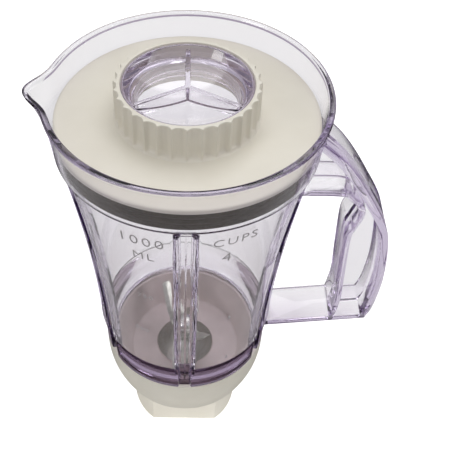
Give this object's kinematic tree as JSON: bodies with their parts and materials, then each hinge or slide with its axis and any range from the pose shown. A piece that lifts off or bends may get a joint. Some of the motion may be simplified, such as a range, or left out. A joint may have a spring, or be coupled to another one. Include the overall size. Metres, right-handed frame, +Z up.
{
  "type": "blender goblet",
  "caption": "Clear ribbed blender goblet with spout and open handle, recessed lid with fluted ring and filler cap, and a screw-on blade base on a flatted foot.",
  "frame": {"origin": "middle of the underside of the whole object's box, level with the surface that the foot stands on", "axes": "+Z up along the goblet's axis, +X towards the handle, -X towards the spout, -Y towards the front rib"},
  "size_m": [0.1872, 0.136, 0.2584],
  "materials": {
    "clear_plastic": "clear, faint lilac tint, glossy",
    "cream_plastic": "fine satin moulded",
    "taupe_plastic": "satin moulded",
    "dark_rubber": "smooth rubber",
    "steel": "bright stainless",
    "bronze": "sintered bronze",
    "black_nylon": "glass-filled nylon"
  },
  "bodies": {
    "base": {"base_collar": "cream_plastic", "drive_foot": "cream_plastic", "base_screw_1": "steel", "base_screw_2": "steel", "base_screw_3": "steel", "base_screw_4": "steel", "blade_housing": "taupe_plastic", "upper_bush": "bronze", "lower_bush": "bronze", "shaft_seal": "dark_rubber"},
    "rotor": {"shaft": "steel", "circlip": "steel", "thrust_washer": "black_nylon", "lower_blade": "steel", "blade_spacer": "steel", "upper_blade": "steel", "blade_nut": "steel", "drive_coupling": "black_nylon", "coupling_nut": "steel"},
    "seal_ring": {"goblet_seal": "dark_rubber"},
    "goblet": {"goblet": "clear_plastic", "handle": "clear_plastic"},
    "lid": {"lid": "cream_plastic", "lid_seal": "dark_rubber"},
    "filler_cap": {"filler_cap": "clear_plastic"}
  },
  "joints": [
    {"name": "blade_spin", "type": "hinge", "parent": "base", "child": "rotor", "pos_m": [-0.01733, 0, 0.06], "axis": [0, 0, 1], "continuous": true},
    {"name": "goblet_turn", "type": "hinge", "parent": "base", "child": "seal_ring", "pos_m": [-0.01733, 0, 0.06], "axis": [0, 0, 1], "range_deg": [0, 270]},
    {"name": "goblet_rise", "type": "slide", "parent": "seal_ring", "child": "goblet", "axis": [0, 0, 1], "range_m": [0, 0.01801]},
    {"name": "lid_lift", "type": "slide", "parent": "goblet", "child": "lid", "axis": [0, 0, 1], "range_m": [0, 0.045]},
    {"name": "cap_lift", "type": "slide", "parent": "lid", "child": "filler_cap", "axis": [0, 0, 1], "range_m": [0, 0.03]}
  ],
  "couplings": [
    {"joint": "goblet_rise", "follows": "goblet_turn", "m_per_rad": 0.0038197}
  ]
}
